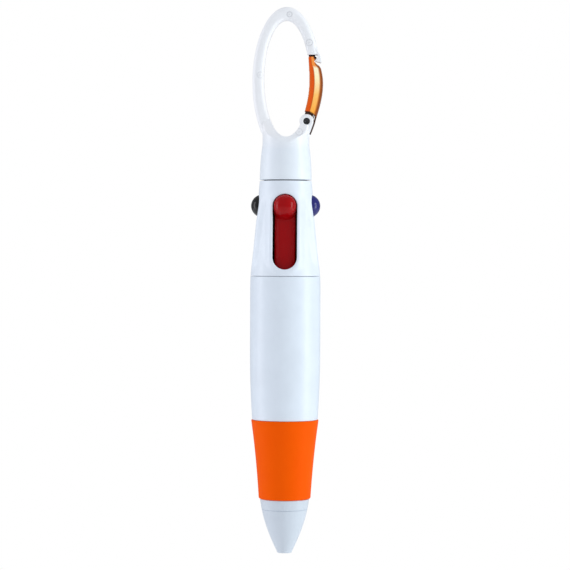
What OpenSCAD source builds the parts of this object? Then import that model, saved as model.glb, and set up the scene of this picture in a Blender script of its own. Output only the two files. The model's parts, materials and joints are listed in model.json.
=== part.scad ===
// Click pen with four ink colours, a rubber grip and a carabiner loop with a sprung gate.
// Millimetres, +Z up, the pen hanging straight down from its loop.
// Every height below is counted up from the writing end. The whole pen is then lowered
// by hang_h, so that the origin is the inside crown of the loop, where it hangs.

/* [Heights] */
// Inside crown of the loop
hang_h = 126.9; // [126.6:0.1:127.2]
// Top of the nose cone, where the grip begins
nose_h = 12.9; // [12.6:0.1:13.2]
// Top of the rubber grip
grip_top = 31.8; // [31:0.1:33]
// Seam between the lower and the upper barrel
barrel_seam = 66.1; // [66:0.1:66.3]
// Seam between the upper barrel and the cap
cap_seam = 88.85; // [88.75:0.05:89.2]

/* [Nose] */
// Outside radius of the flat writing end
nose_end_r = 1.75; // [1.7:0.05:1.9]
// Radius of the hole that the refill points come out of
nose_hole_r = 1.4; // [1.4:0.01:1.45]
// Radius of the nose at the grip
nose_top_r = 5.85; // [5.7:0.05:5.95]
// Height of the fine line that marks off the collar of the nose
collar_z = 10.4; // [9.5:0.1:11.5]

/* [Grip] */
// Radius of the grip at its lower end
grip_low_r = 6.2; // [6.1:0.05:6.3]
// Radius of the grip at its upper end
grip_top_r = 8.02; // [7.95:0.01:8.1]

/* [Barrels] */
// Radius of the straight part of the lower barrel
barrel_r = 8.38; // [8.3:0.01:8.5]
// Radius of the lower barrel just above the grip
barrel_low_r = 7.82; // [7.7:0.01:7.9]
// Radius at the seam of the two barrels
seam_r = 8.3; // [8.2:0.01:8.35]
// Radius of the upper barrel at the cap
neck_r = 6.2; // [6.15:0.01:6.3]
// Radius of the spigot that the lower barrel screws onto
spigot_r = 7; // [6.95:0.01:7.02]
// Clearance between the spigot and the bore of the lower barrel
spigot_play = 0.08; // [0.05:0.01:0.1]
// Height of the spigot's lower end
spigot_low = 59; // [58.8:0.1:60]
// Width of a slider slot
slot_w = 5.8; // [5.8:0.05:5.9]
// Lower end of a slider slot
slot_low = 67.7; // [67.5:0.05:68]
// Upper end of a slider slot
slot_top = 85.55; // [85.55:0.05:85.7]

/* [Cap and loop] */
// Radius of the cap where it turns into the loop
cap_top_r = 5.55; // [5.5:0.01:5.6]
// Depth of the loop from front to back
loop_depth = 3.4; // [3.2:0.1:3.6]
// Bevel along the loop's four edges
loop_bevel = 0.55; // [0.3:0.05:0.7]
// Half width of the loop's outside
loop_out_a = 8.15; // [8.1:0.01:8.2]
// Half height of the loop's outside
loop_out_b = 17.74; // [17.6:0.01:17.8]
// Half width of the loop's hole
loop_in_a = 5.36; // [5.3:0.01:5.4]
// Half height of the loop's hole
loop_in_b = 13.87; // [13.8:0.01:13.9]

/* [Gate] */
// Radius of the gate's hinge pin
pin_r = 0.79; // [0.75:0.01:0.8]
// Depth of the gate from front to back
gate_depth = 3; // [2.8:0.1:3.1]
// Width of the slot between the two cheeks that hold the gate
cheek_gap = 2; // [1.9:0.05:2]

/* [Refills] */
// Height of a resting refill's point
tip_rest_z = 5; // [4.8:0.1:5.2]
// Distance of a resting refill's point from the pen's axis
tip_rest_r = 1.295; // [1.29:0.005:1.3]
// Height of a resting refill's upper end
refill_top_z = 71; // [70.8:0.1:71.2]
// Distance of a refill's upper end from the pen's axis
refill_top_r = 4.1; // [4.08:0.01:4.12]
// Outside radius of the ink tube
tube_r = 1.175; // [1.15:0.005:1.175]
// Inside radius of the ink tube
tube_in_r = 0.9; // [0.89:0.01:0.92]
// Radius of the metal point behind the ball
needle_r = 0.5; // [0.45:0.01:0.5]
// Radius of the writing ball
ball_r = 0.3; // [0.28:0.01:0.3]

/* [Sliders] */
// Height of the middle of a knob
knob_z = 82.8; // [82.7:0.05:82.8]
// Radius of a knob seen from outside the pen
knob_r = 2.72; // [2.62:0.02:2.72]
// Distance of a knob's crest from the pen's axis
knob_reach = 8.25; // [8:0.05:8.4]
// Width of the slider's strip that closes the slot
strip_w = 4.95; // [4.6:0.05:5]

/* [Springs] */
// Mean radius of a slider spring
spring_r = 1.74; // [1.7:0.01:1.76]
// Wire radius of a slider spring
spring_wire_r = 0.175; // [0.15:0.005:0.175]
// Turns of a slider spring
spring_turns = 9; // [7:1:10]

/* [Hidden] */

// Each colour's side of the pen: red in front, black on the left, blue on the right
RED = -90;
BLACK = 180;
BLUE = 0;
GREEN = 90;

WHITE = "#dfe6f2";
ORANGE = "#fa6e0a";
STEEL = "#8f9296";
BRASS = "#c9a96a";
RED_TINT = "#c81a1e";
BLACK_TINT = "#303236";
BLUE_TINT = "#2d2a78";
GREEN_TINT = "#1f8a4a";

eps = 0.01;
smooth = 96;
seam_gap = 0.05;

// The loop's two ellipses share neither centre nor shape, so the strand thickens at the crown
loop_x = 0.15;
loop_out_z = 112.4;
loop_in_z = 113.03;
loop_steps = 72;

// The gate's pin, the direction of the strand there, and the cut-out that the gate closes
pin_x = 4.95;
pin_z = 102.95;
strand_lean = 18.8;
lug_r = 1.7;
gate_gap_top = 118.76;
cap_top_z = 97.3;
gate_arc_r = 2.33;
lug_slot_r = 2.1;
gate_bore_r = pin_r + 0.06;
tongue_r = 1.6;
tongue_t = 0.9;
tongue_y = -0.4;
tenon_t = 1.3;
tenon_top = 119.4;
torsion_y = 0.55;
torsion_r = 1.2;
torsion_wire_r = 0.12;
torsion_turns = 2;
torsion_pitch = 0.32;
gate_leg = 3.5;
cap_leg = 1.55;
gate_leg_y = torsion_y - torsion_pitch * torsion_turns / 2;

// The lower barrel's core, which the grip is pushed onto
core_low_r = 5.2;
core_top_r = 6.9;
core_low_z = nose_h + seam_gap;
shoulder_z = grip_top + seam_gap;
nose_plug_r = 4.45;
nose_plug_top = 18.5;
nose_socket_r = 4.5;
straight_low = 48;
straight_top = 62;
bore_r = spigot_r + spigot_play;

// The upper barrel's inside
spigot_in_r = 6.15;
cap_plug_r = 5.1;
cap_plug_low = 86.6;

// The spring plate and the post that carries it
plate_low = 43.5;
plate_top = 45;
plate_r = 6;
plate_hole_r = 1.45;
plate_hole_at = 3.07;
post_r = 1;
fin_t = 0.8;
fin_low = 62;

// A slider from its lower to its upper end, and the cone that its face lies on
slider_low = 65.5;
slider_top = 86;
strip_low_r = 5.9;
strip_top_r = 4.83;
strip_back_x = 3.6;
rib_back_x = 2.05;
rib_w = 1.6;
rib_low = 72;
rib_top = 85.5;
socket_r = 1.75;
socket_l = 9;
dome_base = 5.53;

// A slider spring stands a little further out than its refill, which swings outwards as it drops
spring_out = 0.1;

// Along a refill, counted from its point: the needle, the collar and the plug in the tube
needle_l = 9.9;
collar_l = 1.65;
collar_r = 0.86;
plug_l = 2.3;
plug_r = 0.85;
refill_tilt = atan((refill_top_r - tip_rest_r) / (refill_top_z - tip_rest_z));
refill_l = (refill_top_z - tip_rest_z) / cos(refill_tilt);

// A bow from a to b that leaves and arrives in line with the corner c
function bow(a, c, b, n = 12) =
    [for (i = [0:n]) let (t = i / n) (1 - t) * (1 - t) * a + 2 * t * (1 - t) * c + t * t * b];

function reversed(list) = [for (i = [len(list) - 1:-1:0]) list[i]];

function ellipse_points(x, z, a, b, n = loop_steps) =
    [for (i = [0:n - 1]) [x + a * cos(360 * i / n), z + b * sin(360 * i / n)]];

// Distance along a refill from its point at which it reaches height z
function along(z) = (z - tip_rest_z) / cos(refill_tilt);

// A closed skin over rings of points that all have the same number of points
module skin(rings, closed = false) {
    n = len(rings);
    s = len(rings[0]);
    last = closed ? n - 1 : n - 2;
    walls = [for (i = [0:last], j = [0:s - 1])
        let (a = i * s + j, b = i * s + (j + 1) % s,
             c = ((i + 1) % n) * s + j, d = ((i + 1) % n) * s + (j + 1) % s)
        each [[a, c, d], [a, d, b]]];
    ends = [[for (j = [0:s - 1]) j], [for (j = [s - 1:-1:0]) (n - 1) * s + j]];
    polyhedron([for (ring = rings) each ring], closed ? walls : concat(walls, ends));
}

// A round wire along a path whose direction never points along +Z
module wire(path, r, sides = 6) {
    n = len(path);
    skin([for (i = [0:n - 1])
        let (t = path[min(i + 1, n - 1)] - path[max(i - 1, 0)],
             u = cross(t, [0, 0, 1]) / norm(cross(t, [0, 0, 1])),
             v = cross(t, u) / norm(cross(t, u)))
        [for (j = [0:sides - 1]) path[i] + r * (cos(360 * j / sides) * u + sin(360 * j / sides) * v)]]);
}

// A flat plate of the outline given as [x, z] points, lying in the plane of the loop
module flat_plate(outline, depth) {
    rotate([90, 0, 0])
        linear_extrude(depth, center = true)
            polygon(outline);
}

// A round bar along Y through the gate's hinge
module hinge_bar(r, depth, y = 0) {
    translate([pin_x, y, pin_z])
        rotate([90, 0, 0])
            cylinder(r = r, h = depth, center = true, $fn = smooth);
}

module turned(outline) {
    rotate_extrude($fn = smooth)
        polygon(outline);
}

// Children drawn with +Z along a resting refill, from its point upwards
module on_refill(side) {
    rotate([0, 0, side])
        translate([tip_rest_r, 0, tip_rest_z])
            rotate([0, refill_tilt, 0])
                children();
}

// ---- Cap, loop and gate ----

// One cross-section of the loop's strand: a bar with four bevelled edges
function strand_ring(angle) =
    let (inner = [loop_x + loop_in_a * cos(angle), loop_in_z + loop_in_b * sin(angle)],
         outer = [loop_x + loop_out_a * cos(angle), loop_out_z + loop_out_b * sin(angle)],
         w = norm(outer - inner),
         d = (outer - inner) / w,
         h = loop_depth / 2,
         e = loop_bevel)
    [for (p = [[0, h - e], [0, e - h], [e, -h], [w - e, -h], [w, e - h], [w, h - e], [w - e, h], [e, h]])
        [inner[0] + p[0] * d[0], p[1], inner[1] + p[0] * d[1]]];

module loop_strand() {
    skin([for (i = [0:loop_steps - 1]) strand_ring(360 * i / loop_steps)], closed = true);
}

// The round cap flattens into the loop: a column between two flanks that round off and hollow
module loop_root() {
    flank = concat(bow([cap_top_r, cap_top_z], [cap_top_r, 98.5], [4.2, 99.4], 6),
        bow([4.1, 99.46], [1.9, 101], [loop_depth / 2, 103.4], 8));
    outline = concat([[-cap_top_r, 95.5], [cap_top_r, 95.5]], flank,
        [for (p = reversed(flank)) [-p[0], p[1]]]);
    difference() {
        intersection() {
            translate([0, 0, 95.2])
                cylinder(r = cap_top_r, h = 10, $fn = smooth);
            rotate([90, 0, 90])
                linear_extrude(4 * cap_top_r, center = true)
                    polygon(outline);
        }
        flat_plate(ellipse_points(loop_x, loop_in_z, loop_in_a, loop_in_b), 20);
    }
}

// The hook that stops the gate from swinging outwards
module loop_hook() {
    flat_plate([[7.2, 120.3], [6.9, gate_gap_top], [7.5, gate_gap_top], [7.5, 117.95], [6.85, 117.25],
        [8.35, 116.85], [8.42, 117.7], [8.17, 118.7]], loop_depth - 0.4);
}

// The slot that the tenon of the gate's head closes into, open below and towards the hole
module tenon_slot() {
    flat_plate([[3, gate_gap_top - 1], [7.2, gate_gap_top - 1], [7.2, tenon_top + 0.4],
        [3, tenon_top + 0.4]], tenon_t + 0.3);
}

// Where the outer edge of the strand gives way to the tail of the gate
module tail_seat() {
    flat_plate([[6.66, 103.5], [6.6, 102.4], [5.66, 99.75], [6.2, 99.75], [8, 101.5], [8, 103.5]], 10);
}

module carabiner_cap() {
    out = [cos(strand_lean), -sin(strand_lean)];
    pin = [pin_x, pin_z];
    color(WHITE)
        difference() {
            union() {
                turned(concat([[0, cap_plug_low], [cap_plug_r, cap_plug_low], [cap_plug_r, cap_seam + 0.12]],
                    bow([neck_r, cap_seam + 0.12], [6.05, 94.5], [cap_top_r, cap_top_z]), [[0, cap_top_z]]));
                loop_root();
                difference() {
                    loop_strand();
                    flat_plate([pin - 6 * out, pin + 6 * out, [12, gate_gap_top], [1, gate_gap_top]], 10);
                }
                hinge_bar(lug_r, loop_depth);
                loop_hook();
            }
            tenon_slot();
            tail_seat();
            hinge_bar(lug_slot_r, cheek_gap);
            hinge_bar(pin_r + eps, 10);
        }
}

module gate() {
    lean = [sin(strand_lean), cos(strand_lean)];
    out = [cos(strand_lean), -sin(strand_lean)];
    pin = [pin_x, pin_z];
    inner_edge = bow([4.45, 105.2], [5.95, 110.2], [5.5, 115.2]);
    outer_edge = bow([8.45, 114.9], [9.55, 110.6], [7.2, 103.8]);
    head = [[5.3, 118.3], [7.25, 118.3], [7.25, 117.95], [6.6, 117.3], [7.35, 116.45], [7.9, 116.1],
        [8.3, 115.5]];
    tail = [[6.63, 102.4], [5.7, 99.79], [5.86, 99.79], [6.3, 100.85], [6.86, 102.4], [7.14, 103.5],
        [7.4, 104.4], [7, 104.4], [6.72, 103.35]];
    color(ORANGE)
        difference() {
            union() {
                difference() {
                    flat_plate(concat([pin], inner_edge, head, outer_edge), gate_depth);
                    hinge_bar(gate_arc_r, 10);
                }
                flat_plate([[5.35, 117.8], [6.95, 117.8], [6.8, tenon_top], [5.45, tenon_top]], tenon_t);
                flat_plate(tail, gate_depth);
                hinge_bar(tongue_r, tongue_t, tongue_y);
                translate([0, tongue_y, 0])
                    flat_plate([pin - out, pin + out, pin + out + 3 * lean, pin - out + 3 * lean], tongue_t);
            }
            hinge_bar(gate_bore_r, 10);
            translate([pin_x, gate_leg_y, pin_z])
                rotate([0, strand_lean, 0])
                    translate([torsion_r, 0, 0])
                        cylinder(r = torsion_wire_r + 0.08, h = gate_leg + 0.2, $fn = smooth);
        }
}

module gate_pin() {
    color(STEEL)
        hinge_bar(pin_r, loop_depth - 0.1);
}

// Torsion spring round the pin: one leg against the cap, the other in the gate
module gate_spring() {
    r = torsion_r;
    steps = 12;
    end = torsion_pitch * torsion_turns / 2;
    coil = [for (i = [0:torsion_turns * steps])
        [r * cos(360 * i / steps), r * sin(360 * i / steps), torsion_pitch * i / steps - end]];
    path = concat([[r, -cap_leg, -end]], coil, [[r, gate_leg, end]]);
    color(STEEL)
        translate([pin_x, torsion_y, pin_z])
            rotate([0, strand_lean, 0])
                rotate([90, 0, 0])
                    wire(path, torsion_wire_r);
}

// ---- Barrels, grip and nose ----

module upper_barrel() {
    color(WHITE)
        difference() {
            turned(concat([[spigot_in_r, spigot_low], [spigot_r, spigot_low], [spigot_r, barrel_seam + seam_gap]],
                bow([seam_r, barrel_seam + seam_gap], [7, 78], [neck_r, cap_seam - 0.12], 16),
                [[cap_plug_r + seam_gap, cap_seam - 0.12], [cap_plug_r + seam_gap, 86.5], [6.95, 68.5],
                    [spigot_in_r, 66.5]]));
            for (side = [RED, BLACK, BLUE, GREEN])
                rotate([0, 0, side])
                    slot_cut();
            for (z = [60.2:1.5:64.7])
                turned([[spigot_r + 1, z], [spigot_r + 1, z + 0.7], [spigot_r - 0.35, z + 0.45],
                    [spigot_r - 0.35, z + 0.25]]);
        }
}

// One slider slot, cut outwards through the wall on the +X side
module slot_cut() {
    r = slot_w / 2;
    for (z = [slot_low + r, slot_top - r])
        translate([2, 0, z])
            rotate([0, 90, 0])
                cylinder(r = r, h = 10, $fn = smooth);
    translate([2, -r, slot_low + r])
        cube([10, slot_w, slot_top - slot_low - slot_w]);
}

// Post with four fins that keep the sliders apart, and the ledge that they catch on
module guide_core() {
    ledge_low = 71;
    ledge_h = 1.5;
    ledge_r = 1.85;
    top = cap_plug_low - 0.1;
    color("#24262a") {
        translate([0, 0, plate_low])
            cylinder(r = post_r, h = top - plate_low, $fn = smooth);
        translate([0, 0, ledge_low])
            cylinder(r = ledge_r, h = ledge_h, $fn = smooth);
        intersection() {
            turned([[0, fin_low], [6.05, fin_low], [6.05, 66.6], [6.8, 68.5], [5.05, top], [0, top]]);
            for (turn = [45, 135])
                rotate([0, 0, turn])
                    translate([-8, -fin_t / 2, fin_low])
                        cube([16, fin_t, top - fin_low]);
        }
    }
}

module spring_plate() {
    color("#c9ccd2")
        difference() {
            translate([0, 0, plate_low])
                cylinder(r = plate_r, h = plate_top - plate_low, $fn = smooth);
            translate([0, 0, plate_low - 1])
                cylinder(r = post_r + eps, h = 5, $fn = smooth);
            for (side = [RED, BLACK, BLUE, GREEN])
                rotate([0, 0, side])
                    translate([plate_hole_at, 0, plate_low - 1])
                        cylinder(r = plate_hole_r, h = 5, $fn = smooth);
        }
}

module lower_barrel() {
    color(WHITE)
        turned(concat([[nose_socket_r, core_low_z], [core_low_r, core_low_z], [core_top_r, shoulder_z]],
            bow([barrel_low_r, shoulder_z], [barrel_r, 40.5], [barrel_r, straight_low]),
            [[barrel_r, straight_top], [seam_r, barrel_seam - seam_gap], [bore_r, barrel_seam - seam_gap],
                [bore_r, 42], [5.9, 31.5], [nose_socket_r, nose_plug_top + 0.2]]));
}

module grip_sleeve() {
    play = 0.03;
    corner = 0.35;
    color(ORANGE)
        turned(concat([[core_low_r + play, core_low_z]], bow([nose_top_r, core_low_z],
            [grip_low_r - 0.05, core_low_z], [grip_low_r, core_low_z + corner], 4),
            bow([grip_low_r + eps, core_low_z + corner + 0.1], [6.87, 23.5], [grip_top_r, grip_top - 0.15]),
            [[grip_top_r - 0.12, grip_top], [core_top_r + play, grip_top]]));
}

module nose_cone() {
    color(WHITE)
        difference() {
            turned(concat([[nose_hole_r, 0], [nose_end_r - 0.2, 0]],
                bow([nose_end_r, 0.25], [5.2, 7], [nose_top_r, nose_h], 16),
                [[nose_plug_r, nose_h], [nose_plug_r, nose_plug_top], [3.5, nose_plug_top], [3.5, 9],
                    [2.2, 4], [nose_hole_r, 0.4]]));
            turned([[5.38, collar_z], [7, collar_z], [7, collar_z + 0.12], [5.38, collar_z + 0.12]]);
        }
}

// ---- Sliders, springs and refills ----

module slider(side, tint) {
    dome = [for (a = [0:10:80]) [knob_r * cos(a), dome_base + (knob_reach - dome_base) * sin(a)]];
    knob = concat([[0, strip_back_x + 0.4], [knob_r, strip_back_x + 0.4]], dome, [[0, knob_reach]]);
    color(tint)
        difference() {
            union() {
                intersection() {
                    turned([[0, slider_low], [strip_low_r, slider_low], [strip_top_r, slider_top], [0, slider_top]]);
                    union() {
                        rotate([0, 0, side])
                            translate([strip_back_x, -strip_w / 2, slider_low])
                                cube([strip_back_x, strip_w, slider_top - slider_low]);
                        rotate([0, 0, side])
                            translate([rib_back_x, -rib_w / 2, rib_low])
                                cube([strip_back_x, rib_w, rib_top - rib_low]);
                        on_refill(side)
                            translate([0, 0, along(slider_low) - 1])
                                cylinder(r = socket_r, h = socket_l, $fn = smooth);
                    }
                }
                rotate([0, 0, side])
                    translate([0, 0, knob_z])
                        rotate([0, 90, 0])
                            turned(knob);
            }
            on_refill(side)
                translate([0, 0, along(slider_low) - 1])
                    cylinder(r = tube_r + 0.02, h = refill_l - along(slider_low) + 1 + eps, $fn = smooth);
        }
}

// Compression spring between the spring plate and a slider, with close end turns
module slider_spring(side) {
    clear = spring_wire_r + 0.1;
    low = along(plate_top + clear);
    high = along(slider_low - clear);
    steps = 16;
    close_pitch = 0.5;
    open_pitch = (high - low - 2 * close_pitch) / (spring_turns - 2);
    function rise(t) = close_pitch * min(t, 1) + open_pitch * max(0, min(t - 1, spring_turns - 2))
        + close_pitch * max(0, t - spring_turns + 1);
    path = [for (i = [0:spring_turns * steps]) let (t = i / steps)
        [spring_out + spring_r * cos(360 * t), spring_r * sin(360 * t), low + rise(t)]];
    color(STEEL)
        on_refill(side)
            wire(path, spring_wire_r);
}

module refill_tube(side, tint) {
    low = needle_l + collar_l;
    color(tint)
        on_refill(side)
            turned([[tube_in_r, low], [tube_r, low], [tube_r, refill_l], [tube_in_r, refill_l]]);
}

module refill_tip(side) {
    seat_r = ball_r + 0.02;
    color(BRASS)
        on_refill(side)
            turned([[seat_r, 0], [seat_r + 0.05, 0], [needle_r, 2.5], [needle_r, needle_l], [collar_r, needle_l],
                [collar_r, needle_l + collar_l - eps], [plug_r, needle_l + collar_l - eps],
                [plug_r, needle_l + collar_l + plug_l], [0, needle_l + collar_l + plug_l], [0, 0.5],
                [seat_r, 0.4]]);
}

module writing_ball(side) {
    color(STEEL)
        on_refill(side)
            translate([0, 0, 0.08])
                sphere(r = ball_r, $fn = 32);
}

module hang() {
    translate([0, 0, -hang_h])
        children();
}

hang() carabiner_cap();
hang() gate();
hang() gate_pin();
hang() gate_spring();
hang() upper_barrel();
hang() guide_core();
hang() spring_plate();
hang() lower_barrel();
hang() grip_sleeve();
hang() nose_cone();
hang() slider(RED, RED_TINT);  // slider_red
hang() slider(BLACK, BLACK_TINT);  // slider_black
hang() slider(BLUE, BLUE_TINT);  // slider_blue
hang() slider(GREEN, GREEN_TINT);  // slider_green
hang() slider_spring(RED);  // spring_red
hang() slider_spring(BLACK);  // spring_black
hang() slider_spring(BLUE);  // spring_blue
hang() slider_spring(GREEN);  // spring_green
hang() refill_tube(RED, RED_TINT);  // refill_tube_red
hang() refill_tube(BLACK, BLACK_TINT);  // refill_tube_black
hang() refill_tube(BLUE, BLUE_TINT);  // refill_tube_blue
hang() refill_tube(GREEN, GREEN_TINT);  // refill_tube_green
hang() refill_tip(RED);  // refill_tip_red
hang() refill_tip(BLACK);  // refill_tip_black
hang() refill_tip(BLUE);  // refill_tip_blue
hang() refill_tip(GREEN);  // refill_tip_green
hang() writing_ball(RED);  // writing_ball_red
hang() writing_ball(BLACK);  // writing_ball_black
hang() writing_ball(BLUE);  // writing_ball_blue
hang() writing_ball(GREEN);  // writing_ball_green
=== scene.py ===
import json
import math

import bmesh
import bpy
import numpy as np
from mathutils import Matrix, Vector


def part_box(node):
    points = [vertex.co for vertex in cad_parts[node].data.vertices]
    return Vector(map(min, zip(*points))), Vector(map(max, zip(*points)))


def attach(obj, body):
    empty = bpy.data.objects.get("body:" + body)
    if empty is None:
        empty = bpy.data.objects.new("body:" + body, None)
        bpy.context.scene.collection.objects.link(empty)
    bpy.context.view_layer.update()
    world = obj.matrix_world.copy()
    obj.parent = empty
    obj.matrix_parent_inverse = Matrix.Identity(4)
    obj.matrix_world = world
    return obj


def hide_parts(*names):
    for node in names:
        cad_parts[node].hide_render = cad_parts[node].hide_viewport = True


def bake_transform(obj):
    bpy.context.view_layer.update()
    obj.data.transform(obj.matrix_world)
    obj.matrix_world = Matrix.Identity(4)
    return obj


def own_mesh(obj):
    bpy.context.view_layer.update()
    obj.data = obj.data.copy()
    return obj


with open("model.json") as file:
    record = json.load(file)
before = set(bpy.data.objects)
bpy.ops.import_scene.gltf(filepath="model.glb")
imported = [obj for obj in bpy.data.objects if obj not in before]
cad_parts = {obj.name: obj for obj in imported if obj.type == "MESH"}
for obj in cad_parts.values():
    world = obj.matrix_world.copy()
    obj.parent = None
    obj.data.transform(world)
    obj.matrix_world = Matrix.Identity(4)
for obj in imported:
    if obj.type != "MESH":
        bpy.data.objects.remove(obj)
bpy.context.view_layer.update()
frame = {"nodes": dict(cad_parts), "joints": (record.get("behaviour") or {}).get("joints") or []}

# ---------------------------------------------------------------- measures
# Lengths are millimetres, and heights are counted up from the writing end.

TIP_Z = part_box("nose_cone")[0].z
JOINTS = {joint["name"]: joint for joint in frame["joints"]}
COLOURS = {"red": -90.0, "black": 180.0, "blue": 0.0, "green": 90.0}


def span(node):
    """The lowest and highest corner of a CAD node, in millimetres from the writing end."""
    low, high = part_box(node)
    return ([low.x * 1e3, low.y * 1e3, (low.z - TIP_Z) * 1e3],
            [high.x * 1e3, high.y * 1e3, (high.z - TIP_Z) * 1e3])


def reach(node):
    """The largest radius of a round CAD node."""
    return span(node)[1][0]


def bottom(node):
    return span(node)[0][2]


def top(node):
    return span(node)[1][2]


def in_frame(point):
    return Vector((point[0] / 1e3, point[1] / 1e3, point[2] / 1e3 + TIP_Z))


def spun(side):
    """The rotation about the pen's axis that turns +X to that side."""
    a = math.radians(side)
    return np.array([[math.cos(a), -math.sin(a), 0], [math.sin(a), math.cos(a), 0], [0, 0, 1]])


# ---------------------------------------------------------------- mesh tools

def bow(a, corner, b, steps):
    """Points from a to b that leave and arrive in line with the corner."""
    a, corner, b = (np.array(p, float) for p in (a, corner, b))
    return [tuple((1 - t) ** 2 * a + 2 * t * (1 - t) * corner + t * t * b)
            for t in np.linspace(0, 1, steps + 1)]


def rounded(path, steps=5, closed=True, support=0.05):
    """A path of (x, y) or (x, y, fillet radius) points with its marked corners rounded."""
    out = []
    n = len(path)
    for i, p in enumerate(path):
        here = Vector(p[:2])
        if len(p) < 3 or not p[2] or (not closed and i in (0, n - 1)):
            out.append((here.x, here.y))
            continue
        back = Vector(path[i - 1][:2]) - here
        ahead = Vector(path[(i + 1) % n][:2]) - here
        u, v = back.normalized(), ahead.normalized()
        half = u.angle(v) / 2
        if half > math.radians(88):
            out.append((here.x, here.y))
            continue
        d = min(p[2] / math.tan(half), 0.45 * back.length, 0.45 * ahead.length)
        r = d * math.tan(half)
        middle = here + (u + v).normalized() * (r / math.sin(half))
        first, last = here + u * d - middle, here + v * d - middle
        sweep = first.angle(last)
        out.append(tuple(here + u * min(d + support, 0.49 * back.length)))
        for k in range(steps + 1):
            t = k / steps
            q = (first * math.sin((1 - t) * sweep) + last * math.sin(t * sweep)) / math.sin(sweep)
            out.append(tuple(middle + q))
        out.append(tuple(here + v * min(d + support, 0.49 * ahead.length)))
    return out


def grid_faces(rings, points, wrap_rings=False):
    """Quads between neighbouring rings of points."""
    faces = []
    for i in range(rings if wrap_rings else rings - 1):
        for j in range(points):
            a, b = i * points, ((i + 1) % rings) * points
            k = (j + 1) % points
            faces.append((a + j, a + k, b + k, b + j))
    return faces


def stack_faces(rings, points):
    """Quads round a stack of rings, and a face over each end."""
    last = (rings - 1) * points
    return grid_faces(rings, points) + [tuple(range(points))[::-1], tuple(range(last, last + points))]


class Shape:
    """Vertices and faces in millimetres, gathered before they become one mesh."""

    def __init__(self):
        self.verts = []
        self.faces = []

    def add(self, verts, faces):
        base = len(self.verts)
        self.verts.extend(tuple(float(c) for c in v) for v in verts)
        self.faces.extend(tuple(base + i for i in f) for f in faces)
        return self

    def lathe(self, outline, n, place=None):
        """A closed outline of (r, z) points turned about Z."""
        a = np.linspace(0, 2 * math.pi, n, endpoint=False)
        rings = [np.stack([r * np.cos(a), r * np.sin(a), np.full(n, z)], 1) for r, z in outline]
        verts = np.concatenate(rings)
        if place is not None:
            verts = verts @ place[0].T + place[1]
        return self.add(verts, grid_faces(len(outline), n, wrap_rings=True))

    def tube(self, path, r, sides=10):
        """A round wire along a path, with domed ends."""
        path = np.array(path, float)
        tangent = np.gradient(path, axis=0)
        tangent /= np.linalg.norm(tangent, axis=1)[:, None]
        side = np.cross(tangent[0], [0.37, 0.21, 0.9])
        rings = []
        for p, t in zip(path, tangent):
            side = side - (side @ t) * t
            side /= np.linalg.norm(side)
            rings.append((p, t, side, np.cross(t, side)))
        a = np.linspace(0, 2 * math.pi, sides, endpoint=False)
        sections = []
        for k, (p, t, u, v) in enumerate(rings):
            ring = np.cos(a)[:, None] * u + np.sin(a)[:, None] * v
            if k == 0:
                for lift in (0.98, 0.75, 0.4):
                    sections.append(p - t * r * lift + ring * r * math.sqrt(1 - lift * lift))
            sections.append(p + ring * r)
            if k == len(rings) - 1:
                for lift in (0.4, 0.75, 0.98):
                    sections.append(p + t * r * lift + ring * r * math.sqrt(1 - lift * lift))
        return self.add(np.concatenate(sections), stack_faces(len(sections), sides))

    def mesh(self, name, weld=2e-4):
        """The mesh in metres in the shared frame, welded, with faces turned outwards."""
        me = bpy.data.meshes.new(name)
        verts = np.array(self.verts, float) / 1e3
        verts[:, 2] += TIP_Z
        me.from_pydata(verts.tolist(), [], self.faces)
        bm = bmesh.new()
        bm.from_mesh(me)
        bmesh.ops.remove_doubles(bm, verts=bm.verts, dist=weld / 1e3)
        bmesh.ops.dissolve_degenerate(bm, edges=bm.edges, dist=weld / 2e3)
        bmesh.ops.recalc_face_normals(bm, faces=bm.faces)
        bm.to_mesh(me)
        bm.free()
        return me


def piece(name, mesh, node, body, material, sharp=35.0, ride=True):
    """An object of that mesh, which stands for a CAD node and moves with its body."""
    obj = bpy.data.objects.new(name, mesh)
    bpy.context.scene.collection.objects.link(obj)
    mesh.shade_smooth()
    mesh.set_sharp_from_angle(angle=math.radians(sharp))
    mesh.materials.clear()
    mesh.materials.append(material)
    if ride:
        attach(obj, body)
    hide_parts(node)
    return obj


def combine(base, other, operation):
    """base with another mesh joined, cut away or kept in common."""
    holder = bpy.data.objects.new("combine_base", base)
    tool = bpy.data.objects.new("combine_tool", other)
    for obj in (holder, tool):
        bpy.context.scene.collection.objects.link(obj)
    step = holder.modifiers.new("combine", "BOOLEAN")
    step.operation = operation
    step.solver = "EXACT"
    step.object = tool
    return _evaluated(holder, tool)


def _evaluated(holder, *others):
    graph = bpy.context.evaluated_depsgraph_get()
    made = bpy.data.meshes.new_from_object(holder.evaluated_get(graph))
    for obj in (holder, *others):
        bpy.data.objects.remove(obj)
    return made


def remeshed(mesh, voxel_mm):
    holder = bpy.data.objects.new("remesh_base", mesh)
    bpy.context.scene.collection.objects.link(holder)
    step = holder.modifiers.new("remesh", "REMESH")
    step.mode = "VOXEL"
    step.voxel_size = voxel_mm / 1e3
    return _evaluated(holder)


def coordinates(mesh):
    co = np.empty(len(mesh.vertices) * 3, np.float64)
    mesh.vertices.foreach_get("co", co)
    return co.reshape(-1, 3)


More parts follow.
